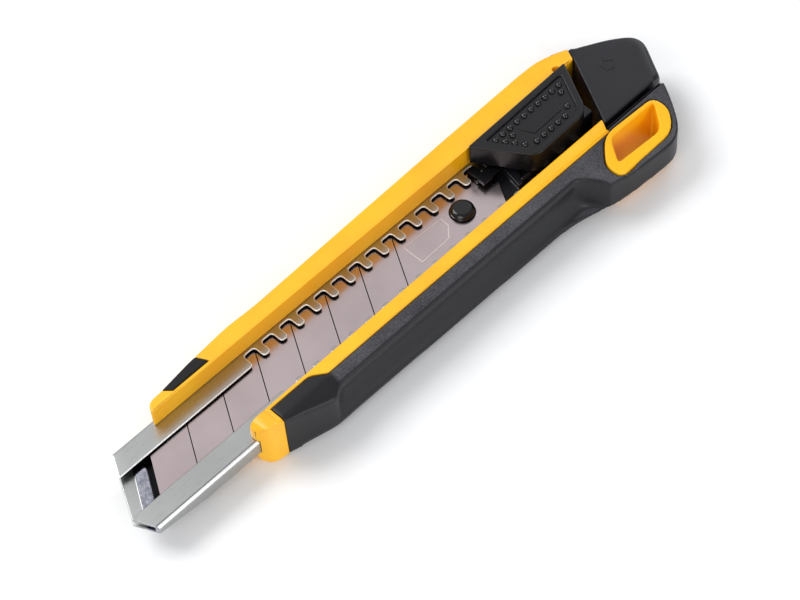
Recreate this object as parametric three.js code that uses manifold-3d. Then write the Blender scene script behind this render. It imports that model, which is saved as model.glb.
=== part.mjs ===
// Auto-lock snap-off utility knife with an 18 mm blade, in millimetres.
// The knife lies on its back. +X runs from the nose to the tail, +Y to the spine, +Z out of the open face.
// Shapes are drawn from the blade: x = 0 is its first score line at mid width, z = 0 its upper face.
// At the end the whole knife is shifted so that its origin is the bottom centre of its bounding box.

import * as THREE from 'three';
import { mergeVertices } from 'three/addons/utils/BufferGeometryUtils.js';
import Module from 'manifold-3d';

const wasm = await Module();
wasm.setup();

// ---- driving dimensions ----
const GAP = 0.06; // moulding and seating gap between touching pieces
const SCORE_SLANT = 1 / Math.tan(Math.PI / 3); // score lines stand at 60 degrees to the edge

const BLADE = {
  length: 100, width: 18, thickness: 0.5, pitch: 10, scores: 7, front: -10,
  bevel: 2.2, edge: 0.08, scoreDepth: 0.14, scoreWidth: 0.26, holeX: 79.2, holeY: 0.7, holeRadius: 2.95,
};
const CHANNEL = {
  halfWidth: 10, top: 1, bottom: -3, sheet: 0.9, lip: 0.5, mouth: 4.4, rear: 111,
  noseBottom: -1.4, noseSheet: 0.5, rampFrom: -5, rampTo: -17, noseLimit: -24,
};
const NOSE_PLATE = { front: -14.9, rear: -11.6, spine: 3.6, grip: -6, top: -0.56, corner: 0.9 };
const NOTCH = { first: 22.8, pitch: 5, count: 18, width: 3, bottom: 7.55, corner: 0.8, tip: 0.9 };
const BODY = {
  back: -7, nose: 6.1, tail: 6.95, from: -4, to: 141, wallSpine: 8.2, wallGrip: -7.9,
  crest: 9.4, slope: 0.3, backFlat: 9.7, roundOff: 1.2,
};
const COLLAR = { x: 8.9, top: 6.2, y: -9.6, corner: 2.6, to: 14.2 };
const RELIEF = { x: 118.1, y: 9, radius: 0.9, depth: 2.4 }; // small pocket in the spine rail's inner edge
const EYE_LIFT = 0.4; // how far the eye's rim stands above the rubber
const FAR = 30; // reach of cutting blocks past the knife's sides
const END = 160; // reach of cutting blocks past its tail
const STRIP_EDGE = -11.1; // where the moulded rail ends and the rubber grip starts
const CAP = { x: 118.4, slant: 0.53, lower: -10.35, play: 0.12, slotY: -9.1, slotWidth: 1, slotDepth: 5.5 };
const TONGUE = { from: 105, to: 126, halfWidth: 6, low: -5.8, high: -4, play: 0.2 };
const CARRIER = { low: -1.7, high: -0.62, halfWidth: 8.6, from: 70, to: 115.5, pegRadius: 2.75, pegTop: 1.6 };
const BRIDGE = { from: 100.2, halfWidth: 4.1, top: 5.4 }; // the carrier's block under the slider
const SHELF = { front: 91.9, lean: 1.7, lap: 0.3 }; // the carrier's ledge that the pawl slides on
const STOP = { from: 93, to: 99.6, thickness: 0.8 }; // the carrier's fence behind the pawl's spring
const SLIDER = {
  base: 2.6, front: 88.4, rear: 118.9, frontTop: 8.1, rearTop: 9.5, spine: 7.55, grip: -5.4,
  fieldDepth: 0.5, play: 0.3,
};
const FLAP = { inner: -8.7, to: 29.5, floor: 2.4 }; // the rubber's lobe on the rail, at its nose end
const INLAY = { from: 20, to: 103, inner: -4, outer: -12, depth: 1.6 }; // the rubber on the back
const RUBBER_TAIL = 113; // where the rubber starts to reach in as far as the cap
const WEB = { from: 112.5, to: 125, grip: -12.4, low: -5, high: 2.2 }; // moulding that ties the eye's boss
const PAD = { front: 4, rear: 13.9, inner: 9, floor: 2.2, frontLean: -0.93, rearLean: -0.5 };
const SCOOP = { rim: -14.6, hollow: -13.8, lip: -17.4, lipHeight: -3.9 }; // hollow side of the grip
const PAWL = {
  low: 1.25, high: 2.25, notchIndex: 13, tooth: 2.1, tip: 6.75, travel: 2.6, buttonTravel: 1.5,
  rear: 99.6, grip: 1.4, spine: 4.05, toe: 0.2,
};
const SPRING = { from: 93.2, to: 99.4, low: -3.2, high: 1.34, strip: 0.35, steps: 10 };

// ---- materials ----
const material = (color, roughness, metalness = 0) =>
  new THREE.MeshStandardMaterial({ color, roughness, metalness });
const yellowAbs = () => material(0xfbc017, 0.4);
const blackRubber = () => material(0x34343a, 0.85);
const blackPlastic = () => material(0x28282e, 0.5);
const satinSteel = () => material(0xb9bbba, 0.35, 1);
const bladeSteel = () => material(0xb3a8a8, 0.32, 1);

// ---- solids ----
function solidOf(geometry) {
  geometry.deleteAttribute('normal');
  geometry.deleteAttribute('uv');
  const merged = mergeVertices(geometry, 1e-5);
  return new wasm.Manifold(new wasm.Mesh({
    numProp: 3,
    vertProperties: new Float32Array(merged.attributes.position.array),
    triVerts: new Uint32Array(merged.index.array),
  }));
}

const unite = (...solids) => solids.reduce((all, next) => all.add(next));
const cut = (solid, ...tools) => tools.reduce((rest, tool) => rest.subtract(tool), solid);
const shared = (...solids) => solids.reduce((all, next) => all.intersect(next));

// A closed outline from corners [x, y] or [x, y, radius]; a radius rounds the corner with a curve.
function outline(corners) {
  const shape = new THREE.Shape();
  const count = corners.length;
  corners.forEach(([x, y, radius = 0], i) => {
    const at = new THREE.Vector2(x, y);
    const before = new THREE.Vector2(...corners[(i + count - 1) % count]);
    const after = new THREE.Vector2(...corners[(i + 1) % count]);
    const start = at.clone().add(before.sub(at).setLength(radius));
    const end = at.clone().add(after.sub(at).setLength(radius));
    if (i === 0) shape.moveTo(start.x, start.y);
    else shape.lineTo(start.x, start.y);
    if (radius > 0) shape.quadraticCurveTo(x, y, end.x, end.y);
  });
  shape.closePath();
  return shape;
}

const extruded = (corners, depth, curveSegments = 4) =>
  new THREE.ExtrudeGeometry(outline(corners), { depth, curveSegments, bevelEnabled: false });

// Prisms: along Z from an XY outline, along X from a YZ outline, along Y from an XZ outline.
const prismZ = (corners, z0, z1, curveSegments) =>
  solidOf(extruded(corners, z1 - z0, curveSegments).translate(0, 0, z0));

function prismX(corners, x0, x1, curveSegments) {
  const turn = new THREE.Matrix4().makeBasis(
    new THREE.Vector3(0, 1, 0), new THREE.Vector3(0, 0, 1), new THREE.Vector3(1, 0, 0));
  return solidOf(extruded(corners, x1 - x0, curveSegments).applyMatrix4(turn).translate(x0, 0, 0));
}

function prismY(corners, y0, y1, curveSegments) {
  const turn = new THREE.Matrix4().makeBasis(
    new THREE.Vector3(1, 0, 0), new THREE.Vector3(0, 0, 1), new THREE.Vector3(0, -1, 0));
  return solidOf(extruded(corners, y1 - y0, curveSegments).applyMatrix4(turn).translate(0, y1, 0));
}

const box = (x0, x1, y0, y1, z0, z1) =>
  solidOf(new THREE.BoxGeometry(x1 - x0, y1 - y0, z1 - z0)
    .translate((x0 + x1) / 2, (y0 + y1) / 2, (z0 + z1) / 2));

const post = (x, y, r0, r1, z0, z1, sides = 24) =>
  solidOf(new THREE.CylinderGeometry(r1, r0, z1 - z0, sides)
    .rotateX(Math.PI / 2).translate(x, y, (z0 + z1) / 2));

// ---- blade and its guide channel ----
function blade() {
  const { front, length, width, thickness, bevel, edge, holeX, holeY, holeRadius } = BLADE;
  const half = width / 2;
  const lean = half * SCORE_SLANT;
  const rear = front + length;
  const plate = prismZ([
    [front - lean, -half], [rear - lean, -half, 0.8], [rear + lean, half, 0.8], [front + lean, half],
  ], -thickness, 0);
  const ground = (side) => prismX([
    [-half - 1, side * thickness], [-half - 1, side * edge / 2],
    [-half, side * edge / 2], [-half + bevel, side * thickness / 2], [-half + bevel, side * thickness],
  ].map(([y, z]) => [y, z - thickness / 2]), front - width, rear + width);
  const scores = Array.from({ length: BLADE.scores }, (_, i) => {
    const x = i * BLADE.pitch;
    const w = BLADE.scoreWidth / 2;
    return prismZ([
      [x - lean * 1.1 - w, -half * 1.1], [x - lean * 1.1 + w, -half * 1.1],
      [x + lean * 1.1 + w, half * 1.1], [x + lean * 1.1 - w, half * 1.1],
    ], -BLADE.scoreDepth, 1);
  });
  return cut(plate, ground(1), ground(-1), ...scores,
    post(holeX, holeY, holeRadius, holeRadius, -2, 1));
}

// The mouth between the lips, notched on both sides; the teeth left between the notches have round tips.
function ratchetMouth() {
  const { first, pitch, count, width, bottom, corner, tip } = NOTCH;
  const { mouth, noseLimit, rear, top } = CHANNEL;
  const upper = [];
  for (let i = 0; i < count; i += 1) {
    const from = first + i * pitch - width / 2;
    upper.push([from, mouth, tip], [from, bottom, corner]);
    upper.push([from + width, bottom, corner], [from + width, mouth, tip]);
  }
  const lower = upper.map(([x, y, radius]) => [x, -y, radius]).reverse();
  return prismZ([
    [noseLimit - 1, mouth], ...upper, [rear + 1, mouth],
    [rear + 1, -mouth], ...lower, [noseLimit - 1, -mouth],
  ], 0, top + 1, 3);
}

// A plate pressed up from the web behind the front lip; the blade's underside clears it.
function nosePlate() {
  const { front, rear, spine, grip, top, corner } = NOSE_PLATE;
  return prismZ([
    [front + spine * SCORE_SLANT, spine, corner], [rear + spine * SCORE_SLANT, spine, corner],
    [rear + grip * SCORE_SLANT, grip, corner], [front + grip * SCORE_SLANT, grip, corner],
  ], CHANNEL.noseBottom + 0.1, top);
}

function bladeChannel() {
  const { halfWidth, top, bottom, sheet, lip, rear, noseBottom, noseSheet } = CHANNEL;
  const { rampFrom, rampTo, noseLimit } = CHANNEL;
  const outer = prismY([
    [noseLimit, top], [noseLimit, noseBottom], [rampTo, noseBottom], [rampFrom, bottom],
    [rear, bottom], [rear, top],
  ], -halfWidth, halfWidth);
  const inner = prismY([
    [noseLimit - 1, top - lip], [noseLimit - 1, noseBottom + noseSheet], [rampTo + 2, noseBottom + noseSheet],
    [rampFrom, bottom + sheet], [rear + 1, bottom + sheet], [rear + 1, top - lip],
  ], sheet - halfWidth, halfWidth - sheet);
  const edgeRound = [1, -1].map((side) => prismX([
    [side * (halfWidth + 1), top + 1], [side * (halfWidth - 0.7), top + 0.01],
    [side * (halfWidth + 0.01), top - 0.7],
  ], noseLimit - 1, rear + 1));
  const front = prismZ([
    [-17.8, -11], [-17.8, -10], [-20.3, -4.8], [-12.7, 10], [-12.7, 11], [-30, 11], [-30, -11],
  ], -4, 3);
  const folded = cut(outer, inner, ratchetMouth(), ...edgeRound, front);
  return unite(folded, nosePlate());
}

// ---- housing, grip and cap share one outer form ----
const SPINE_EDGE = [
  [-2.8, 8.1, 1.3], [-1.3, 10.6, 1.5], [1.8, 10.7], [10, 11.7], [22.5, 12.7, 3], [29, 12.3, 3],
  [58, 13.3], [88, 14.3], [112, 14.9], [118.5, 14.7, 3],
];
const CAP_EDGE = [
  [133, 6.8, 3], [138.7, 2.1, 4], [132.5, -8.4, 1.5],
];
const GRIP_EDGE = [
  [129, -15.2, 2.5], [124.5, -22, 5], [106.5, -20.9, 6], [94.5, -16.9, 5], [60, -16.5], [31, -16, 3],
  [24.8, -16.1, 1.4], [COLLAR.to - 0.3, -12.8, 1],
];

// Lens section shared by every outer moulding: rails crest beside the trough and fall away to the sides.
function outerForm(lift = 0) {
  const { back, from, to, crest, slope, backFlat, roundOff } = BODY;
  const nose = BODY.nose + lift;
  const tail = BODY.tail + lift;
  const edge = 24;
  const fall = (edge - crest) * slope;
  const rise = (edge - backFlat) * slope;
  const lens = prismX([
    [-edge, tail - fall], [-crest, tail, 1], [crest, tail, 1], [edge, tail - fall],
    [edge, back + rise], [backFlat, back, 1], [-backFlat, back, 1], [-edge, back + rise],
  ], from, to + 2);
  const side = prismY([
    [from, back], [to + 2, back], [to + 2, tail], [to - 20, tail], [from, nose],
  ], -edge, edge);
  const plan = new THREE.ExtrudeGeometry(outline([
    [COLLAR.x, COLLAR.y, 1.2], [COLLAR.x + 2, COLLAR.y - 2.9, 1.5], ...[...GRIP_EDGE].reverse(),
    ...[...CAP_EDGE].reverse(), ...[...SPINE_EDGE].reverse(),
  ]), {
    depth: tail - back - 2 * roundOff, curveSegments: 6, bevelEnabled: true,
    bevelThickness: roundOff, bevelSize: roundOff, bevelOffset: -roundOff, bevelSegments: 3,
  });
  plan.translate(0, 0, back + roundOff);
  return shared(lens, side, solidOf(plan));
}

// Plan region of the tail cap; grow widens it on its front and lower sides.
function capRegion(grow) {
  const { x, slant, lower } = CAP;
  const low = lower - grow;
  return prismZ([
    [x + slant * low - grow, low], [END, low], [END, FAR], [x + slant * FAR - grow, FAR],
  ], -FAR, FAR);
}

// The lanyard eye is a yellow boss that comes up through the rubber, with a slanted through slot.
const EYE_RIM = [
  [111, -11.2, 3], [126.4, -11.8, 2.2], [127, -15.5, 1.3], [124.2, -19.8, 3.4], [107, -20.1, 1.5],
  [105.9, -16.4, 2],
];
const EYE_SLOT = [
  [111.7, -12.5, 1.6], [125.6, -12.6, 1], [121.8, -18.1, 2], [108.7, -17.5, 1],
];

// Region that the rubber fills: all outside the rail strip, a flap under the collar strip and a back inlay.
function gripRegion(shrink) {
  const s = shrink;
  const start = COLLAR.to + s;
  const seam = STRIP_EDGE - 1; // the regions overlap here, under the strip's edge
  const flank = prismZ([
    [start, STRIP_EDGE - s], [start, -FAR], [END, -FAR], [END, STRIP_EDGE - s],
  ], -FAR, FAR);
  const flap = prismZ([
    [start, FLAP.inner - s], [FLAP.to - 4.5 - s, FLAP.inner - s, 1], [FLAP.to - s, seam, 2], [start, seam],
  ], FLAP.floor + s, FAR);
  const inlay = prismZ([
    [INLAY.from + s, INLAY.outer], [INLAY.from + 9 + s, INLAY.inner - s, 3],
    [INLAY.to - 7 - s, INLAY.inner - s, 3], [INLAY.to - s, INLAY.outer],
  ], -FAR, BODY.back + INLAY.depth - s);
  const tail = box(RUBBER_TAIL + s, END, seam, CAP.lower, FLAP.floor + s, FAR);
  return unite(flank, flap, inlay, tail);
}

// Yellow web under the rubber that ties the eye boss to the housing.
const eyeWeb = (grow) => box(
  WEB.from - grow, WEB.to + grow, WEB.grip, CAP.lower - 0.3, WEB.low - grow, WEB.high + grow);

// The nose pad's pocket; its ends lean forward as they cross the rail's shoulder.
function padRegion(shrink) {
  const { front, rear, inner, floor, frontLean, rearLean } = PAD;
  const out = FAR - inner;
  const low = inner + shrink;
  return prismZ([
    [front + frontLean * out + shrink, FAR], [front + shrink, low], [rear - shrink, low],
    [rear + rearLean * out - shrink, FAR],
  ], floor + shrink, FAR);
}

const tonguePocket = (play) => box(
  TONGUE.from - play, END, -TONGUE.halfWidth - play, TONGUE.halfWidth + play,
  TONGUE.low - play, TONGUE.high + play);

// What is cut away in front of the collar to leave its nose rounded above and below.
function collarFront() {
  const { x, top, corner, to } = COLLAR;
  const side = BODY.wallGrip + 0.3;
  const rounded = prismY([
    [x, BODY.back, corner], [to + corner, BODY.back], [to + corner, top], [x, top, corner],
  ], -FAR, side, 6);
  return cut(box(-FAR, to - 1, -FAR, side, -FAR, FAR), rounded);
}

function housing(form) {
  const { wallSpine, wallGrip } = BODY;
  const { halfWidth, bottom, top } = CHANNEL;
  const trough = box(-10, 150, wallGrip, wallSpine, 0, FAR);
  const seat = box(-10, 150, -halfWidth - GAP, halfWidth + GAP, bottom - GAP, top + GAP);
  const rubber = cut(gripRegion(0), prismZ(EYE_RIM, -FAR, FAR), eyeWeb(0));
  const rim = shared(outerForm(EYE_LIFT), prismZ(EYE_RIM, 0, FAR));
  const relief = post(RELIEF.x, RELIEF.y, RELIEF.radius, RELIEF.radius, BODY.tail - RELIEF.depth, FAR);
  return cut(unite(form, rim), trough, seat, collarFront(), rubber, capRegion(CAP.play), padRegion(0),
    tonguePocket(TONGUE.play), prismZ(EYE_SLOT, -FAR, FAR), relief);
}

// The hollow along the grip's side: it starts at a crease below the grained band and ends at the lower lip.
function fingerScoop() {
  const { rim, hollow, lip, lipHeight } = SCOOP;
  const section = prismX([
    [-FAR, FAR], [rim, FAR], [rim, 4.2, 1], [hollow, 1, 2], [(hollow + lip) / 2, lipHeight + 0.9, 1],
    [lip, lipHeight, 1], [-FAR, lipHeight],
  ], 0, 120, 5);
  const reach = prismZ([
    [16, -FAR], [22.5, -18], [30.5, rim + 1.5, 3], [96.5, rim + 1.5, 3], [101, -16.4, 2], [104.4, -20.5, 2],
    [106, -FAR],
  ], -FAR, FAR, 6);
  return shared(section, reach);
}

function gripOvermould(form) {
  const eye = prismZ(grown(EYE_RIM, GAP), -FAR, FAR);
  return cut(shared(form, gripRegion(GAP)), eye, eyeWeb(GAP), capRegion(CAP.play), fingerScoop());
}

// Moves every corner of an outline outwards from its centre.
function grown(corners, by) {
  const cx = corners.reduce((sum, [x]) => sum + x, 0) / corners.length;
  const cy = corners.reduce((sum, [, y]) => sum + y, 0) / corners.length;
  return corners.map(([x, y, radius]) => {
    const out = new THREE.Vector2(x - cx, y - cy);
    out.setLength(out.length() + by * 1.5);
    return [cx + out.x, cy + out.y, radius];
  });
}

function nosePad(form) {
  return shared(form, padRegion(GAP));
}

function endCap(form) {
  const { slotY, slotWidth, slotDepth, lower } = CAP;
  const block = shared(form, capRegion(0));
  const tongue = box(TONGUE.from, TONGUE.to, -TONGUE.halfWidth, TONGUE.halfWidth, TONGUE.low, TONGUE.high);
  const slot = box(TONGUE.from, END, slotY - slotWidth, slotY, BODY.tail - slotDepth, FAR);
  return cut(unite(block, tongue), slot, box(TONGUE.from, END, -FAR, lower, -FAR, FAR));
}

// ---- slider group ----
function bladeCarrier() {
  const { low, high, halfWidth, from, to, pegRadius, pegTop } = CARRIER;
  const tongue = prismZ([
    [from, -halfWidth, 2], [to - 3, -halfWidth, 1], [to, halfWidth, 1], [from + 6, halfWidth, 2],
  ], low, high);
  const peg = unite(
    post(BLADE.holeX, BLADE.holeY, pegRadius, pegRadius, high - 0.3, pegTop - 0.6),
    post(BLADE.holeX, BLADE.holeY, pegRadius, pegRadius * 0.72, pegTop - 0.6, pegTop));
  const wide = BRIDGE.halfWidth;
  const shelf = prismZ([
    [SHELF.front, -wide], [BRIDGE.from + SHELF.lap, -wide], [BRIDGE.from + SHELF.lap, wide],
    [SHELF.front + SHELF.lean, wide],
  ], high - 0.3, PAWL.low - 0.1);
  const stop = box(STOP.from, STOP.to, -wide, STOP.thickness - wide, high, PAWL.high);
  const bridge = box(BRIDGE.from, to, -wide, wide, low, BRIDGE.top);
  return unite(tongue, peg, shelf, stop, bridge);
}

const pawlX = NOTCH.first + PAWL.notchIndex * NOTCH.pitch;
const PIN = { x: 98, y: 2.9, radius: 1, top: 4.5, play: 0.12 };

function lockPawl() {
  const { low, high, tooth, tip, rear, grip, spine, toe: toeLow } = PAWL;
  const half = tooth / 2;
  const plate = prismZ([
    [pawlX - half, grip], [rear, grip], [rear, spine], [pawlX + half, spine], [pawlX + half, tip, 0.6],
    [pawlX - half, tip, 0.6],
  ], low, high, 3);
  const toe = prismZ([
    [pawlX - half, spine - 0.85], [pawlX + half, spine - 0.85], [pawlX + half, tip, 0.6],
    [pawlX - half, tip, 0.6],
  ], toeLow, low + 0.2, 3);
  const bore = PIN.radius + 0.03;
  return cut(unite(plate, toe), post(PIN.x, PIN.y, bore, bore, 0, high + 1, 16));
}

const pawlPin = () => post(PIN.x, PIN.y, PIN.radius, PIN.radius, PAWL.low, PIN.top, 16);

// A bowed leaf: its ends rest on the carrier's stop, its middle bears on the pawl.
function lockSpring() {
  const { from, to, low, high, strip, steps } = SPRING;
  const arc = (offset) => Array.from({ length: steps + 1 }, (_, i) => {
    const t = i / steps;
    const bow = Math.sin(Math.PI * t) ** 2;
    return [from + (to - from) * t, low + (high - strip - low) * bow + offset];
  });
  return prismZ([...arc(0), ...arc(strip).reverse()], PAWL.low, PAWL.high - 0.1);
}

const sliderTop = (x) =>
  SLIDER.frontTop + (SLIDER.rearTop - SLIDER.frontTop) * (x - SLIDER.front) / (SLIDER.rear - SLIDER.front);

function sliderButton() {
  const { base, front, rear, spine, grip, fieldDepth, play } = SLIDER;
  const from = front - 8;
  const to = rear + 8;
  const block = prismZ([
    [front, spine, 0.6], [rear, spine, 0.5], [rear - 6.7, grip, 3], [front + 8, grip, 2],
  ], base, FAR);
  const underTop = prismY([[from, 0], [to, 0], [to, sliderTop(to)], [from, sliderTop(from)]], -FAR, FAR);
  const field = prismZ([
    [front + 3.6, spine - 1.8, 0.6], [rear - 2.9, spine - 1.6, 0.8], [rear - 7.7, grip + 1.8, 2],
    [front + 9.3, grip + 1.8, 1],
  ], 0, FAR);
  const aboveField = prismY([
    [from, sliderTop(from) - fieldDepth], [to, sliderTop(to) - fieldDepth], [to, FAR], [from, FAR],
  ], -FAR, FAR);
  const side = BRIDGE.halfWidth + play;
  const pocket = box(BRIDGE.from - 2 * play, CARRIER.to + 1.9, -side, side, base - 1, BRIDGE.top + play);
  return cut(shared(block, underTop), shared(field, aboveField), pocket, camSlot());
}

// The slanted slot in the slider's base that draws the pawl's pin to the grip side.
function camSlot() {
  const low = SLIDER.base - 1;
  const high = PIN.top + 0.2;
  const reach = PIN.radius + PIN.play;
  const slope = new THREE.Vector2(PAWL.buttonTravel, -PAWL.travel);
  const start = new THREE.Vector2(PIN.x, PIN.y);
  const end = start.clone().add(slope);
  const out = new THREE.Vector2(slope.y, -slope.x).setLength(-reach);
  const corner = (point, side) => [point.x + side * out.x, point.y + side * out.y];
  return unite(
    post(start.x, start.y, reach, reach, low, high, 16), post(end.x, end.y, reach, reach, low, high, 16),
    prismZ([corner(start, -1), corner(end, -1), corner(end, 1), corner(start, 1)], low, high));
}

// ---- assembly ----
function piece(name, solid, finish) {
  const { vertProperties, triVerts } = solid.getMesh();
  const geometry = new THREE.BufferGeometry();
  geometry.setAttribute('position', new THREE.BufferAttribute(vertProperties, 3));
  geometry.setIndex(new THREE.BufferAttribute(triVerts, 1));
  geometry.computeVertexNormals();
  const mesh = new THREE.Mesh(geometry, finish);
  mesh.name = name;
  return mesh;
}

const form = outerForm();
const knife = new THREE.Group();
knife.add(
  piece('housing', housing(form), yellowAbs()),
  piece('grip_overmould', gripOvermould(form), blackRubber()),
  piece('nose_pad', nosePad(form), blackRubber()),
  piece('end_cap', endCap(form), blackPlastic()),
  piece('blade_channel', bladeChannel(), satinSteel()),
  piece('blade', blade(), bladeSteel()),
  piece('blade_carrier', bladeCarrier(), blackPlastic()),
  piece('slider_button', sliderButton(), blackPlastic()),
  piece('lock_pawl', lockPawl(), satinSteel()),
  piece('pawl_pin', pawlPin(), satinSteel()),
  piece('lock_spring', lockSpring(), satinSteel()),
);

const bounds = new THREE.Box3().setFromObject(knife);
const middle = bounds.getCenter(new THREE.Vector3());
knife.position.set(-middle.x, -middle.y, -bounds.min.z);

const part = new THREE.Group();
part.add(knife);

export default part;
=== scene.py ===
"""Looks of a snap-off utility knife, built round its fixed CAD frame.

Sizes are millimetres measured from the blade: x = 0 is its first score line at mid width, z = 0 its upper
face, +X runs to the tail, +Y to the spine and +Z out of the open face.
"""

import logging
import math
from dataclasses import dataclass
from enum import Enum
from typing import Callable, Sequence

import bmesh
import bpy
from bmesh.types import BMEdge, BMesh
from bpy.types import Material, Node, NodeTree, Object
from mathutils import Matrix, Vector
from mathutils.geometry import intersect_point_line


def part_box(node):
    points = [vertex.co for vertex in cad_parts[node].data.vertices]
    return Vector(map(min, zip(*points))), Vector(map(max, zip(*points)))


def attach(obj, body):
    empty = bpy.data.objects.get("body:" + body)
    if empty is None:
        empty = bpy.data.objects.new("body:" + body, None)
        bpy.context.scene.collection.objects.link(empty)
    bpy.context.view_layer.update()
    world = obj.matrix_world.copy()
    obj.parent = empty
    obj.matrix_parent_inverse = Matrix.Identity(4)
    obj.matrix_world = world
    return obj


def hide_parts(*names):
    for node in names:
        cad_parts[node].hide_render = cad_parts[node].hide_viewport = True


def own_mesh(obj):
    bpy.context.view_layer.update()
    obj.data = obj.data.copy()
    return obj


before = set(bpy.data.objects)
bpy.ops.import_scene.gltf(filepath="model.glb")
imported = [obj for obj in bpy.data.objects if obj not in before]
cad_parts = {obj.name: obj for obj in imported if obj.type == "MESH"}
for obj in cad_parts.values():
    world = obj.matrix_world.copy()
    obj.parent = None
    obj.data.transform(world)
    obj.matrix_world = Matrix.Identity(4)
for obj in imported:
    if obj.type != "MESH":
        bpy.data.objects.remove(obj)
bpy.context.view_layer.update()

log = logging.getLogger("utility_knife")
MILLIMETRE = 0.001
SLANT = 1 / math.tan(math.radians(60))  # score lines and the blade's ends stand at 60 degrees to the edge
MERGE_GAP = 0.004  # vertices closer than this, in millimetres, become one
SLIVER = 0.01  # edges shorter than this, in millimetres, are dissolved
SAME_PLANE = 0.15  # faces that turn by less than this, in degrees, become one

_blade_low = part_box("blade")[0] / MILLIMETRE
BLADE_LOW = Vector((-10 - 9 * SLANT, -9.0, -0.5))  # the blade's lowest corner, measured from its score line
TO_FRAME = Matrix.Scale(MILLIMETRE, 4) @ Matrix.Translation(_blade_low - BLADE_LOW)


class Body(Enum):
    """The moving bodies of the knife."""

    HANDLE = "handle"
    SLIDE = "blade_slide"
    BUTTON = "thumb_button"
    LOCK = "lock"
    CAP = "tail_cap"


class Slot(Enum):
    """The material slots of the record."""

    YELLOW = "yellow_abs"
    RUBBER = "black_rubber"
    PLASTIC = "black_plastic"
    SLIDER = "slider_plastic"
    CHANNEL = "channel_steel"
    BLADE = "blade_steel"
    SPRING = "spring_steel"


# ---- materials ----


def linear(colour: str) -> tuple[float, float, float, float]:
    """Turns an sRGB hex colour into linear RGBA.

    Args:
        colour: six hex digits after a hash sign.

    Returns:
        The linear red, green and blue with an alpha of 1.
    """
    channels = [int(colour[i : i + 2], 16) / 255 for i in (1, 3, 5)]
    bent = [c / 12.92 if c <= 0.04045 else ((c + 0.055) / 1.055) ** 2.4 for c in channels]
    return (bent[0], bent[1], bent[2], 1.0)


def add_node(tree: NodeTree, kind: str, settings: dict | None = None, links: dict | None = None) -> Node:
    """Adds a node to a tree.

    Args:
        tree: the material's node tree.
        kind: the node's type name.
        settings: values by input name or number, or by property name.
        links: output sockets by the name or number of the input that they feed.

    Returns:
        The new node.
    """
    node = tree.nodes.new(kind)
    for key, value in (settings or {}).items():
        if isinstance(key, int) or key in node.inputs:
            node.inputs[key].default_value = value
        else:
            setattr(node, key, value)
    for key, source in (links or {}).items():
        tree.links.new(source, node.inputs[key])
    return node


def per_metre(size: float) -> float:
    """The texture scale that repeats a pattern every size millimetres."""
    return 1 / (size * MILLIMETRE)


@dataclass(frozen=True)
class Finish:
    """A surface whose colour and gloss wander a little over its real grain.

    The colour drifts between two close shades over centimetres, as it does in a moulding or a rolled sheet.
    The grain is a bump of its real width and depth, stretched along one axis where the surface was worked
    in one direction.
    """

    name: str
    colour: str
    shade: str
    roughness: float
    roughness_spread: float
    grain: float
    depth: float
    metallic: float = 0.0
    ior: float = 1.5
    stretch: tuple[float, float, float] = (1.0, 1.0, 1.0)
    speckle: float = 0.0
    drift: float = 14.0
    specular: float = 0.5
    subsurface: float = 0.0

    def make(self) -> Material:
        """Builds the node material.

        Returns:
            The new material.
        """
        material = bpy.data.materials.new(self.name)
        material.use_nodes = True
        tree = material.node_tree
        shader = tree.nodes["Principled BSDF"]
        shader.inputs["Metallic"].default_value = self.metallic
        if not self.metallic:
            shader.inputs["IOR"].default_value = self.ior
            shader.inputs["Specular IOR Level"].default_value = self.specular
        if self.subsurface:
            shader.inputs["Subsurface Weight"].default_value = self.subsurface
            shader.inputs["Subsurface Scale"].default_value = 1.2 * MILLIMETRE
        self.paint(tree, shader)
        return material

    def paint(self, tree: NodeTree, shader: Node) -> None:
        """Feeds the shader's colour, roughness and normal.

        Args:
            tree: the material's node tree.
            shader: its Principled shader.
        """
        place = add_node(tree, "ShaderNodeTexCoord").outputs["Object"]
        along = add_node(tree, "ShaderNodeMapping", {"Scale": self.stretch}, {"Vector": place}).outputs[0]
        broad = add_node(
            tree, "ShaderNodeTexNoise", {"Scale": per_metre(self.drift), "Detail": 3.0}, {"Vector": place}
        ).outputs["Fac"]
        fine = add_node(
            tree, "ShaderNodeTexNoise", {"Scale": per_metre(self.grain), "Detail": 2.0}, {"Vector": along}
        ).outputs["Fac"]
        mixed = add_node(
            tree, "ShaderNodeMath", {"operation": "MULTIPLY_ADD", 1: self.speckle}, {0: fine, 2: broad}
        ).outputs[0]
        low, high = 0.35 + self.speckle * 0.4, 0.65 + self.speckle * 0.6
        ramp = add_node(
            tree, "ShaderNodeMapRange", {"From Min": low, "From Max": high}, {"Value": mixed}
        ).outputs[0]
        colour = add_node(
            tree,
            "ShaderNodeMix",
            {"data_type": "RGBA", 6: linear(self.shade), 7: linear(self.colour)},
            {0: ramp},
        ).outputs[2]
        tree.links.new(colour, shader.inputs["Base Color"])
        gloss = add_node(
            tree,
            "ShaderNodeMapRange",
            {
                "From Min": 0.3,
                "From Max": 0.7,
                "To Min": self.roughness - self.roughness_spread,
                "To Max": self.roughness + self.roughness_spread,
            },
            {"Value": fine},
        ).outputs[0]
        tree.links.new(gloss, shader.inputs["Roughness"])
        if self.depth:
            bump = add_node(
                tree,
                "ShaderNodeBump",
                {"Strength": 1.0, "Distance": self.depth * MILLIMETRE},
                {"Height": fine},
            ).outputs[0]
            tree.links.new(bump, shader.inputs["Normal"])


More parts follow.
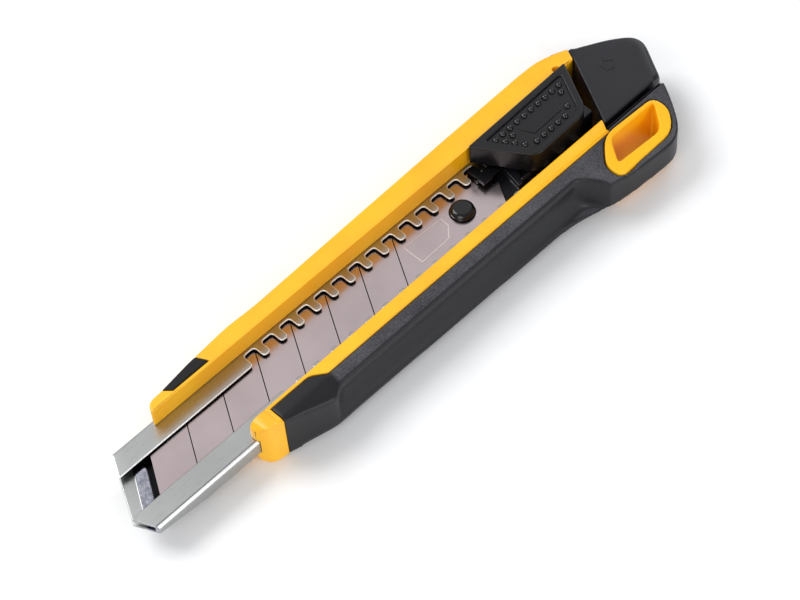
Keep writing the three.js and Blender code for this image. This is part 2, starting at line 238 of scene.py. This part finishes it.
@dataclass(frozen=True)
class GrainedRubber(Finish):
    """Soft elastomer moulded over the housing.

    Faces that look up are grained behind a line near the nose; its hollow sides and its nose are smooth.
    """

    grain_from: float = 29.0
    smooth_colour: str = "#19191D"
    smooth_roughness: float = 0.4

    def paint(self, tree: NodeTree, shader: Node) -> None:
        """Adds the smooth sides to the grained top.

        Args:
            tree: the material's node tree.
            shader: its Principled shader.
        """
        super().paint(tree, shader)
        normal = add_node(tree, "ShaderNodeTexCoord").outputs["Normal"]
        up = add_node(tree, "ShaderNodeSeparateXYZ", links={0: normal}).outputs["Z"]
        place = add_node(tree, "ShaderNodeTexCoord").outputs["Object"]
        along = add_node(tree, "ShaderNodeSeparateXYZ", links={0: place}).outputs["X"]
        start = (TO_FRAME @ Vector((self.grain_from, 0, 0))).x
        behind = add_node(
            tree, "ShaderNodeMapRange", {"From Min": start - MILLIMETRE, "From Max": start}, {"Value": along}
        ).outputs[0]
        flat = add_node(
            tree, "ShaderNodeMapRange", {"From Min": 0.82, "From Max": 0.93}, {"Value": up}
        ).outputs[0]
        grained = add_node(
            tree, "ShaderNodeMath", {"operation": "MULTIPLY"}, {0: flat, 1: behind}
        ).outputs[0]
        for socket, kind, plain in (
            ("Base Color", "RGBA", linear(self.smooth_colour)),
            ("Roughness", "FLOAT", self.smooth_roughness),
        ):
            source = shader.inputs[socket].links[0].from_socket
            first, second = (6, 7) if kind == "RGBA" else (2, 3)
            mix = add_node(
                tree, "ShaderNodeMix", {"data_type": kind, first: plain}, {0: grained, second: source}
            )
            tree.links.new(mix.outputs[2 if kind == "RGBA" else 0], shader.inputs[socket])
        bump = shader.inputs["Normal"].links[0].from_node
        tree.links.new(
            add_node(
                tree, "ShaderNodeMapRange", {"To Min": 0.12, "To Max": 1.0}, {"Value": grained}
            ).outputs[0],
            bump.inputs["Strength"],
        )


# Amber ABS from a fine spark-eroded tool: semi-gloss, with light scattering a little below the skin.
YELLOW_ABS = Finish(
    "amber_moulded_abs", "#FFBF0E", "#FCB408", 0.36, 0.05, 0.35, 0.006, ior=1.54, subsurface=0.1
)
# Thermoplastic elastomer: charcoal with a pale, dusty grain on the faces that the tool left rough.
RUBBER = GrainedRubber(
    "charcoal_elastomer", "#545459", "#2A2A2F", 0.72, 0.08, 0.3, 0.03, speckle=1.3, specular=0.35
)
# The nose pad is the same elastomer from a polished part of the tool.
PAD_RUBBER = Finish("nose_pad_elastomer", "#0F0F11", "#0A0A0B", 0.5, 0.06, 0.3, 0.012, specular=0.3)
# Black ABS of the end cap and the carrier: satin, finely spark-eroded.
BLACK_ABS = Finish(
    "black_satin_abs", "#15151C", "#0E0E13", 0.38, 0.06, 0.34, 0.016, ior=1.54, speckle=0.5, specular=0.35
)
# Black polyamide of the thumb slider: a little glossier, because fingers polish it.
SLIDER_PA = Finish(
    "black_polished_polyamide", "#101013", "#0A0A0C", 0.32, 0.05, 0.45, 0.008, ior=1.53, specular=0.35
)
# The same polyamide on the domes, which wear to a shine.
DOME_PA = Finish("black_worn_polyamide", "#131316", "#0D0D10", 0.2, 0.04, 0.45, 0.004, ior=1.53)
# Polished black acetal of the blade's peg.
PEG_POM = Finish("black_polished_acetal", "#0E0E10", "#09090B", 0.2, 0.03, 0.6, 0.004, ior=1.48)
# Cold-rolled stainless sheet: satin, with faint rolling lines along its length.
CHANNEL_STEEL = Finish(
    "cold_rolled_stainless", "#B4B5B4", "#ADAEAD", 0.3, 0.03, 0.5, 0.0, metallic=1.0, stretch=(0.15, 1, 1)
)
# Painted highlight: a near-white metal for the spine lip's sheared upper edges, standing in for the light
# they catch.
LIP_HIGHLIGHT_STEEL = Finish("sheared_stainless_edge", "#FFFFFF", "#F4F4F4", 0.42, 0.04, 0.4, 0.0, metallic=0.6)
# The same sheet where the press has planished it: bright, with a dimpled skin.
PRESSED_STEEL = Finish(
    "planished_stainless", "#BDBEC8", "#8E8F9C", 0.2, 0.06, 0.9, 0.06, metallic=1.0, speckle=1.0
)
# Painted shade: a dark steel on the sheet's inside faces, where the blade and the lips shade it.
INSIDE_SHADE_STEEL = Finish("oiled_dark_stainless", "#262628", "#171718", 0.35, 0.08, 0.8, 0.004, metallic=1.0)
# Carbon tool steel, ground across and lightly oiled, which warms its grey.
BLADE_STEEL = Finish(
    "ground_tool_steel", "#CBBCBD", "#C1B2B3", 0.22, 0.03, 0.4, 0.0, metallic=1.0, stretch=(1, 0.12, 1)
)
# Painted shade: a dark steel for the bottom of the pressed score lines, where shade falls in the grooves.
SCORE_SHADE_STEEL = Finish("oiled_score_line", "#3A3434", "#2A2626", 0.5, 0.05, 0.4, 0.0, metallic=1.0)
# Hardened spring steel, blackened by its heat treatment.
SPRING_STEEL = Finish("blackened_spring_steel", "#2A2A2E", "#1C1C20", 0.35, 0.06, 0.4, 0.004, metallic=1.0)
# Painted highlight: a lighter steel for the lines of the pressed frame on the blade, so that they look lit.
RIDGE_HIGHLIGHT_STEEL = Finish("pressed_blade_ridge", "#DCD0D0", "#D0C4C4", 0.5, 0.04, 0.4, 0.0, metallic=0.6)


# ---- mesh work ----


def made_materials() -> dict[str, Material]:
    """The materials made so far, by name."""
    return {m.name: m for m in bpy.data.materials}


def copy_of(node: str) -> BMesh:
    """Copies a CAD node with its loose triangles merged into clean faces.

    Args:
        node: the CAD node's name.

    Returns:
        The copy, in millimetres from the blade's first score line.
    """
    bm = bmesh.new()
    bm.from_mesh(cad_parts[node].data)
    bmesh.ops.transform(bm, matrix=TO_FRAME.inverted(), verts=bm.verts)
    bmesh.ops.remove_doubles(bm, verts=bm.verts, dist=MERGE_GAP)
    bmesh.ops.dissolve_degenerate(bm, edges=bm.edges, dist=SLIVER)
    bmesh.ops.dissolve_limit(bm, angle_limit=math.radians(SAME_PLANE), verts=bm.verts, edges=bm.edges)
    return bm


def soften(
    bm: BMesh,
    width: float,
    segments: int = 3,
    angle: float = 35.0,
    only: Callable[[BMEdge], bool] | None = None,
    material: int = -1,
) -> None:
    """Rounds the outside edges that are sharper than an angle.

    Args:
        bm: the mesh, changed in place.
        width: how far the rounding reaches from the edge, in millimetres.
        segments: how many faces make the rounding.
        angle: the least turn, in degrees, of an edge that is rounded.
        only: a test that an edge has to pass as well.
        material: the finish number of the new faces, or -1 to take their neighbours'.
    """
    bm.normal_update()
    edges = [
        e
        for e in bm.edges
        if e.is_manifold
        and e.is_convex
        and e.calc_face_angle(0.0) > math.radians(angle)
        and (only is None or only(e))
    ]
    bmesh.ops.bevel(
        bm,
        geom=edges,
        offset=width,
        offset_type="OFFSET",
        segments=segments,
        profile=0.5,
        affect="EDGES",
        clamp_overlap=False,
        material=material,
    )


def plate(bm: BMesh, corners: Sequence[tuple[float, float]], low: float, high: float) -> list:
    """Adds an upright plate with the given outline.

    Args:
        bm: the mesh that the plate is added to.
        corners: its outline in plan, counter-clockwise.
        low: height of its underside.
        high: height of its top.

    Returns:
        The plate's vertices.
    """
    base = [bm.verts.new((x, y, low)) for x, y in corners]
    face = bmesh.ops.contextual_create(bm, geom=base)["faces"][0]
    grown = bmesh.ops.extrude_face_region(bm, geom=[face])["geom"]
    top = [v for v in grown if isinstance(v, bmesh.types.BMVert)]
    bmesh.ops.translate(bm, vec=(0, 0, high - low), verts=top)
    bmesh.ops.recalc_face_normals(bm, faces=list({f for v in base + top for f in v.link_faces}))
    return base + top


def pressed_frame(corners: Sequence[tuple[float, float]], line: float, low: float, high: float) -> BMesh:
    """A thin raised line round an outline.

    Args:
        corners: the outline in plan, counter-clockwise.
        line: the width of the line, inside the outline.
        low: height of its underside.
        high: height of its top.

    Returns:
        The frame's mesh.
    """
    bm = bmesh.new()
    base = [bm.verts.new((x, y, low)) for x, y in corners]
    face = bmesh.ops.contextual_create(bm, geom=base)["faces"][0]
    rim = bmesh.ops.inset_region(
        bm, faces=[face], thickness=line, use_even_offset=True, use_boundary=True
    )["faces"]
    bmesh.ops.delete(bm, geom=[face], context="FACES_ONLY")
    grown = bmesh.ops.extrude_face_region(bm, geom=rim)["geom"]
    top = [v for v in grown if isinstance(v, bmesh.types.BMVert)]
    bmesh.ops.translate(bm, vec=(0, 0, high - low), verts=top)
    bmesh.ops.recalc_face_normals(bm, faces=bm.faces)
    return bm


def publish(
    bm: BMesh,
    name: str,
    finishes: Sequence[Finish],
    body: Body,
    nodes: Sequence[str] = (),
    crease: float = 38.0,
) -> Object:
    """Turns a mesh into a finished piece of the knife.

    Args:
        bm: the mesh, in millimetres from the blade's first score line; it is freed.
        name: the piece's name.
        finishes: its finishes, in the order of its faces' material numbers.
        body: the body that it moves with.
        nodes: the CAD nodes that it stands for.
        crease: edges that turn by more degrees than this stay sharp.

    Returns:
        The new object.
    """
    bmesh.ops.transform(bm, matrix=TO_FRAME, verts=bm.verts)
    for face in bm.faces:
        face.smooth = True
    mesh = bpy.data.meshes.new(name)
    bm.to_mesh(mesh)
    bm.free()
    mesh.set_sharp_from_angle(angle=math.radians(crease))
    for finish in finishes:
        mesh.materials.append(made_materials().get(finish.name) or finish.make())
    piece = bpy.data.objects.new(name, mesh)
    bpy.context.scene.collection.objects.link(piece)
    flat = piece.modifiers.new("flat_faces", "WEIGHTED_NORMAL")
    flat.keep_sharp = True
    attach(piece, body.value)
    if nodes:
        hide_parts(*nodes)
    log.info("%s: %d faces on %s", name, len(mesh.polygons), body.value)
    return piece


def remeshed(bm: BMesh, voxel: float) -> BMesh:
    """Rebuilds a solid with an even skin of small faces, for soft shapes.

    Args:
        bm: the solid in millimetres; it is freed.
        voxel: the width of the new faces, in millimetres.

    Returns:
        The new mesh.
    """
    mesh = bpy.data.meshes.new("remesh_source")
    bm.to_mesh(mesh)
    bm.free()
    source = bpy.data.objects.new("remesh_source", mesh)
    bpy.context.scene.collection.objects.link(source)
    remesh = source.modifiers.new("skin", "REMESH")
    remesh.mode = "VOXEL"
    remesh.voxel_size = voxel
    evaluated = source.evaluated_get(bpy.context.evaluated_depsgraph_get())
    result = bmesh.new()
    result.from_mesh(evaluated.to_mesh())
    evaluated.to_mesh_clear()
    bpy.data.objects.remove(source)
    bpy.data.meshes.remove(mesh)
    return result


def relax(bm: BMesh, times: int, where: Callable[[Vector], bool] | None = None) -> None:
    """Evens out a skin of small faces, which rounds its edges further each time.

    Args:
        bm: the mesh, changed in place.
        times: how many times each vertex moves to the middle of its neighbours.
        where: a test that a vertex's place has to pass.
    """
    verts = [v for v in bm.verts if where is None or where(v.co)]
    for _ in range(times):
        bmesh.ops.smooth_vert(bm, verts=verts, factor=0.5, use_axis_x=True, use_axis_y=True, use_axis_z=True)


def distance_to(point: Vector, corners: Sequence[tuple[float, float]]) -> float:
    """How far a point is, in plan, from an open line through corners.

    Args:
        point: the point; its height doesn't count.
        corners: the line's corners in plan, in order.

    Returns:
        The shortest distance, in millimetres.
    """
    flat = point.to_2d()
    gaps = []
    for start, end in zip(corners, corners[1:]):
        near, share = intersect_point_line(flat, Vector(start), Vector(end))
        if share < 0:
            near = Vector(start)
        elif share > 1:
            near = Vector(end)
        gaps.append((flat - near.to_2d()).length)
    return min(gaps)


# ---- sub-assemblies ----


@dataclass
class Handle:
    """Housing, its rubber parts and the folded steel channel."""

    housing_edge: float = 0.35
    collar_end: float = 20.0
    collar_flat: float = 1.0
    pad_edge: float = 0.35
    channel_edge: float = 0.2
    grip_voxel: float = 0.34
    grip_smoothing: int = 4
    palm_smoothing: int = 16
    palm_front: float = 17.0
    palm_rear: float = 103.5
    palm_y: float = -12.6
    palm_low: float = -6.2
    plate_front: float = -14.7
    plate_rear: float = -11.55
    inside: float = 9.3
    inside_low: float = -2.2
    lip_under: float = 0.55
    lip_top: float = 0.9
    lip_from: float = 4.3
    lip_to: float = 7.8

    def build(self) -> None:
        """Makes the handle's pieces."""
        self.housing()
        self.grip()
        self.pad()
        self.channel()

    def housing(self) -> None:
        """The yellow moulding, with its edges rounded; the collar's curved facets are merged first."""
        bm = copy_of("housing")
        collar = [v for v in bm.verts if v.co.x < self.collar_end and v.co.y < 0]
        seams = [e for e in bm.edges if e.verts[0] in collar and e.verts[1] in collar]
        bmesh.ops.dissolve_limit(
            bm, angle_limit=math.radians(self.collar_flat), verts=collar, edges=seams
        )
        soften(bm, self.housing_edge)
        publish(bm, "housing_shell", [YELLOW_ABS], Body.HANDLE, ["housing"], crease=16)

    def grip(self) -> None:
        """The rubber grip, with the soft edges that an elastomer has."""
        bm = remeshed(copy_of("grip_overmould"), self.grip_voxel)
        relax(bm, self.grip_smoothing)
        relax(bm, self.palm_smoothing, self.in_palm)
        publish(bm, "grip_rubber", [RUBBER], Body.HANDLE, ["grip_overmould"], crease=180)

    def in_palm(self, point: Vector) -> bool:
        """Whether a point is on the grip's side, where the fingers close, clear of its seams and its back."""
        beside = self.palm_front < point.x < self.palm_rear and point.y < self.palm_y
        return beside and point.z > self.palm_low

    def pad(self) -> None:
        """The rubber pad let into the spine near the nose."""
        bm = copy_of("nose_pad")
        soften(bm, self.pad_edge)
        publish(bm, "nose_pad_rubber", [PAD_RUBBER], Body.HANDLE, ["nose_pad"])

    def channel(self) -> None:
        """The folded sheet, with a painted white highlight on the spine lip's upper edges, a planished nose
        plate and painted shade on its inside.
        """
        bm = copy_of("blade_channel")
        lean = Vector((1, -SLANT, 0))
        for x in (self.plate_front, self.plate_rear):
            bmesh.ops.bisect_plane(
                bm, geom=bm.verts[:] + bm.edges[:] + bm.faces[:], plane_co=(x, 0, 0), plane_no=lean
            )
        for face in bm.faces:
            face.material_index = self.channel_finish(face.calc_center_median())
        # The spine lip's upper edges take the near-white finish: a painted highlight.
        soften(bm, self.channel_edge, segments=2, only=self.is_spine_lip, material=1)
        soften(bm, self.channel_edge, segments=2, only=lambda edge: not self.is_spine_lip(edge))
        publish(
            bm,
            "channel_sheet",
            [CHANNEL_STEEL, LIP_HIGHLIGHT_STEEL, PRESSED_STEEL, INSIDE_SHADE_STEEL],
            Body.HANDLE,
            ["blade_channel"],
        )

    def channel_finish(self, centre: Vector) -> int:
        """Picks the finish of one of the sheet's faces.

        Args:
            centre: the middle of the face.

        Returns:
            The number of its finish: plain, pressed, or dark with painted shade.
        """
        along = centre.x - centre.y * SLANT
        inside = abs(centre.y) < self.inside and self.inside_low < centre.z < self.lip_under
        if inside and along < self.plate_front:
            return 0
        if inside and along < self.plate_rear:
            return 2
        # The other inside faces take the dark finish: painted shade.
        return 3 if inside else 0

    def is_spine_lip(self, edge: BMEdge) -> bool:
        """Whether an edge is the upper edge of the spine lip, which is painted near-white as a highlight."""
        middle = (edge.verts[0].co + edge.verts[1].co) / 2
        return middle.z > self.lip_top and self.lip_from < middle.y < self.lip_to


@dataclass
class BladeSlide:
    """The blade, the carrier that holds it by its peg, and the pawl's spring."""

    blade_edge: float = 0.05
    score_reach: float = 6.7
    score_low: float = -0.2
    score_high: float = -0.01
    first_score: float = -6.0
    last_score: float = 66.0
    rim_length: float = 3.0
    tail_from: float = 74.0
    carrier_edge: float = 0.25
    peg_x: float = 79.2
    peg_y: float = 0.7
    peg_reach: float = 3.0
    peg_low: float = -0.4
    leaf_edge: float = 0.06
    leaf_left: float = 0.43
    frame_line: float = 0.2
    frame_height: float = 0.05

    def build(self) -> None:
        """Makes the slide's pieces."""
        self.blade()
        self.stamp()
        self.carrier()
        self.spring()

    def blade(self) -> None:
        """The snap-off strip."""
        bm = copy_of("blade")
        for face in bm.faces:
            centre = face.calc_center_median()
            sunk = self.score_low < centre.z < self.score_high
            scored = self.first_score < centre.x < self.last_score and abs(centre.y) < self.score_reach
            # Faces at the bottom of the score lines take the dark finish: painted shade.
            if sunk and scored:
                face.material_index = 1
        soften(bm, self.blade_edge, segments=1, angle=50, only=self.is_rim)
        publish(bm, "blade_strip", [BLADE_STEEL, SCORE_SHADE_STEEL], Body.SLIDE, ["blade"])

    def is_rim(self, edge: BMEdge) -> bool:
        """Whether an edge of the blade is on its outline and not in a score line."""
        middle = (edge.verts[0].co + edge.verts[1].co) / 2
        long_side = edge.calc_length() > self.rim_length and abs(middle.y) > self.score_reach
        return long_side or middle.x > self.tail_from

    def stamp(self) -> None:
        """A plain frame pressed into the blade's last segment but one."""
        outline = [(63.8, -2.4), (72.1, -2.2), (74.7, 0.4), (74.8, 2.8), (63.8, 3.3)]
        bm = pressed_frame(outline, self.frame_line, 0.0, self.frame_height)
        # The frame's lines take the lighter steel: a painted highlight.
        publish(bm, "blade_stamped_frame", [RIDGE_HIGHLIGHT_STEEL], Body.SLIDE)

    def carrier(self) -> None:
        """The black tongue with its polished peg."""
        bm = copy_of("blade_carrier")
        soften(bm, self.carrier_edge)
        for face in bm.faces:
            centre = face.calc_center_median()
            away = math.hypot(centre.x - self.peg_x, centre.y - self.peg_y)
            if away < self.peg_reach and centre.z > self.peg_low:
                face.material_index = 1
        publish(
            bm, "carrier_tongue", [BLACK_ABS, PEG_POM], Body.SLIDE, ["blade_carrier"]
        )

    def spring(self) -> None:
        """The bowed leaf that pushes the pawl home and flattens as it draws back; here it keeps its bowed
        shape, on a mesh of its own.
        """
        bm = copy_of("lock_spring")
        soften(bm, self.leaf_edge, segments=1, angle=50)
        piece = publish(bm, "lock_spring_leaf", [SPRING_STEEL], Body.SLIDE, ["lock_spring"])
        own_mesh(piece)


@dataclass
class ThumbSlider:
    """The thumb slider with its dimpled top."""

    edge: float = 0.3
    dome_radius: float = 0.8
    dome_height: float = 0.75
    front_x: float = 88.4
    front_top: float = 8.1
    rear_x: float = 118.9
    rear_top: float = 9.5
    field_depth: float = 0.5
    pitch: float = 2.22
    dome_sink: float = 0.02
    plate_low: float = 7.6
    plate_middle: float = 105.0
    plate_rise: float = 0.16
    plate_edge: float = 0.1

    def slope(self) -> float:
        """How much the slider's top rises for each millimetre towards the tail."""
        return (self.rear_top - self.front_top) / (self.rear_x - self.front_x)

    def field(self, x: float) -> float:
        """Height of the sunk field at x."""
        share = (x - self.front_x) / (self.rear_x - self.front_x)
        return self.front_top + (self.rear_top - self.front_top) * share - self.field_depth

    def build(self) -> None:
        """Makes the slider's pieces."""
        bm = copy_of("slider_button")
        soften(bm, self.edge)
        publish(bm, "slider_body", [SLIDER_PA], Body.BUTTON, ["slider_button"])
        self.domes()
        self.plate()

    def dome_places(self) -> list[tuple[float, float]]:
        """Where the grip domes stand: a full top row, a lower row, and short rows at the ends.

        Returns:
            The place of each dome in plan.
        """
        top = [(93.7 + i * self.pitch, 4.4) for i in range(10)]
        bottom = [(99.4 + i * self.pitch, -2.4) for i in range(5)]
        front = [(94.8, 2.6), (97.1, 2.6), (95.9, 0.8), (97.0, -1.1)]
        return top + bottom + front + [(112.6, 2.7), (110.6, -0.9)]

    def domes(self) -> None:
        """The grip domes, each a flattened cap sunk into the field."""
        bm = bmesh.new()
        for x, y in self.dome_places():
            place = Matrix.Translation((x, y, self.field(x) - self.dome_sink)) @ Matrix.Diagonal(
                (1, 1, self.dome_height / self.dome_radius, 1)
            )
            bmesh.ops.create_icosphere(bm, subdivisions=2, radius=self.dome_radius, matrix=place)
        publish(bm, "slider_domes", [DOME_PA], Body.BUTTON)

    def plate(self) -> None:
        """The plain raised plate between the rows of domes."""
        bm = bmesh.new()
        outline = [(100.6, -0.7), (109.0, -0.7), (110.6, 2.9), (99.2, 2.9)]
        plate(bm, outline, self.plate_low, self.rear_top + self.dome_height)
        bmesh.ops.bisect_plane(
            bm,
            geom=bm.verts[:] + bm.edges[:] + bm.faces[:],
            plane_co=(self.plate_middle, 0, self.field(self.plate_middle) + self.plate_rise),
            plane_no=(-self.slope(), 0, 1),
            clear_outer=True,
        )
        bmesh.ops.holes_fill(bm, edges=[e for e in bm.edges if e.is_boundary])
        soften(bm, self.plate_edge, segments=2)
        publish(bm, "slider_plate", [SLIDER_PA], Body.BUTTON)


@dataclass
class Lock:
    """The pawl that stands in a notch, and its pin."""

    edge: float = 0.12

    def build(self) -> None:
        """Makes the lock's pieces."""
        bm = copy_of("lock_pawl")
        soften(bm, self.edge, segments=2)
        publish(bm, "pawl_plate", [SPRING_STEEL], Body.LOCK, ["lock_pawl"])
        bm = copy_of("pawl_pin")
        soften(bm, self.edge, segments=2)
        publish(bm, "pawl_pin_turned", [SPRING_STEEL], Body.LOCK, ["pawl_pin"])


@dataclass
class EndCap:
    """The tail cap that pulls off."""

    voxel: float = 0.3
    smoothing: int = 3
    shoulder: float = 2.9
    shoulder_smoothing: int = 30
    shoulder_low: float = 3.2
    mark_x: float = 126.8
    mark_y: float = 1.6
    mark_line: float = 0.22
    mark_sink: float = 0.1
    mark_rise: float = 0.08
    top: float = 6.95
    rear_from: float = 119.5
    rear_lean: float = 0.53
    outline: tuple[tuple[float, float], ...] = ((122, 13.0), (133, 6.8), (138.2, 2.1), (132.5, -8.4))

    def build(self) -> None:
        """Makes the cap's pieces."""
        bm = remeshed(copy_of("end_cap"), self.voxel)
        relax(bm, self.smoothing)
        relax(bm, self.shoulder_smoothing, self.on_shoulder)
        publish(bm, "cap_shell", [BLACK_ABS], Body.CAP, ["end_cap"], crease=180)
        self.mark()

    def mark(self) -> None:
        """A plain raised arrow outline that shows which way the cap pulls off."""
        outline = [(-1.6, -1.1), (0.3, -1.1), (0.3, -1.8), (1.9, 0), (0.3, 1.8), (0.3, 1.1), (-1.6, 1.1)]
        corners = [(self.mark_x + x, self.mark_y + y) for x, y in outline]
        bm = pressed_frame(corners, self.mark_line, self.top - self.mark_sink, self.top + self.mark_rise)
        publish(bm, "cap_arrow", [DOME_PA], Body.CAP)

    def on_shoulder(self, point: Vector) -> bool:
        """Whether a point is on the rounded shoulder between the cap's top and its outer side."""
        near = distance_to(point, self.outline) < self.shoulder
        outside = point.x > self.rear_from + self.rear_lean * point.y
        return near and outside and point.z > self.shoulder_low


# ---- studio ----


@dataclass
class Studio:
    """A pale floor, soft light and the camera."""

    azimuth: float = -41.081
    elevation: float = 54.013
    roll: float = -5.33
    distance: float = 489.07
    target: tuple[float, float, float] = (53.657, -5.718, 0.0)
    lens: float = 105.564
    sensor: float = 36.0

    def build(self) -> None:
        """Makes the floor, the lights and the camera."""
        self.floor()
        self.lights()
        self.camera()
        bpy.context.scene.view_settings.view_transform = "Standard"

    def floor(self) -> None:
        """A wide matt sheet under the knife."""
        bm = bmesh.new()
        bmesh.ops.create_grid(bm, x_segments=1, y_segments=1, size=3.0)
        mesh = bpy.data.meshes.new("floor")
        bm.to_mesh(mesh)
        bm.free()
        paper = Finish("white_studio_paper", "#FAFAFA", "#F7F7F7", 0.9, 0.02, 0.5, 0.01)
        mesh.materials.append(paper.make())
        sheet = bpy.data.objects.new("floor", mesh)
        bpy.context.scene.collection.objects.link(sheet)

    def area(self, name: str, place: Vector, size: float, power: float) -> None:
        """Adds a square soft light that looks at the knife.

        Args:
            name: the light's name.
            place: where it hangs, in metres.
            size: the length of its side, in metres.
            power: its power in watts.
        """
        light = bpy.data.lights.new(name, "AREA")
        light.size = size
        light.energy = power
        lamp = bpy.data.objects.new(name, light)
        lamp.location = place
        lamp.rotation_euler = place.to_track_quat("Z", "Y").to_euler()
        bpy.context.scene.collection.objects.link(lamp)

    def lights(self) -> None:
        """Soft boxes and an even white surround; the wide one is mirrored by the flat steel."""
        self.area("key_light", Vector((-0.4, 0.9, 1.15)), 0.8, 13)
        self.area("nose_light", Vector((-1.1, -0.5, 0.9)), 0.8, 7)
        self.area("grip_light", Vector((0.1, -1.2, 0.45)), 0.7, 5)
        self.area("tail_light", Vector((1.2, 0.5, 0.7)), 0.6, 3)
        self.area("wide_light", Vector((0.54, 0.62, 1.15)), 1.1, 1.5)
        world = bpy.data.worlds.new("studio")
        world.use_nodes = True
        back = world.node_tree.nodes["Background"]
        back.inputs["Color"].default_value = linear("#F4F6FA")
        back.inputs["Strength"].default_value = 0.45
        bpy.context.scene.world = world

    def camera(self) -> None:
        """A long lens from the nose end and the grip side."""
        azimuth, elevation, roll = (math.radians(v) for v in (self.azimuth, self.elevation, self.roll))
        right = Vector((math.cos(azimuth), math.sin(azimuth), 0))
        back = Vector(
            (
                math.sin(azimuth) * math.cos(elevation),
                -math.cos(azimuth) * math.cos(elevation),
                math.sin(elevation),
            )
        )
        up = back.cross(right)
        turned_right = right * math.cos(roll) + up * math.sin(roll)
        turned_up = up * math.cos(roll) - right * math.sin(roll)
        data = bpy.data.cameras.new("camera")
        data.lens = self.lens
        data.sensor_width = self.sensor
        data.clip_start = 0.01
        camera = bpy.data.objects.new("camera", data)
        place = TO_FRAME @ (Vector(self.target) + back * self.distance)
        axes = Matrix((turned_right, turned_up, back)).transposed()
        camera.matrix_world = Matrix.Translation(place) @ axes.to_4x4()
        bpy.context.scene.collection.objects.link(camera)
        bpy.context.scene.camera = camera


def main() -> None:
    """Builds the knife's looks round the frame, then the studio."""
    logging.basicConfig(level=logging.INFO, format="%(name)s: %(message)s")
    for assembly in (Handle(), BladeSlide(), ThumbSlider(), Lock(), EndCap()):
        assembly.build()
        log.info("%s done", type(assembly).__name__)
    Studio().build()


if __name__ == "__main__":
    main()
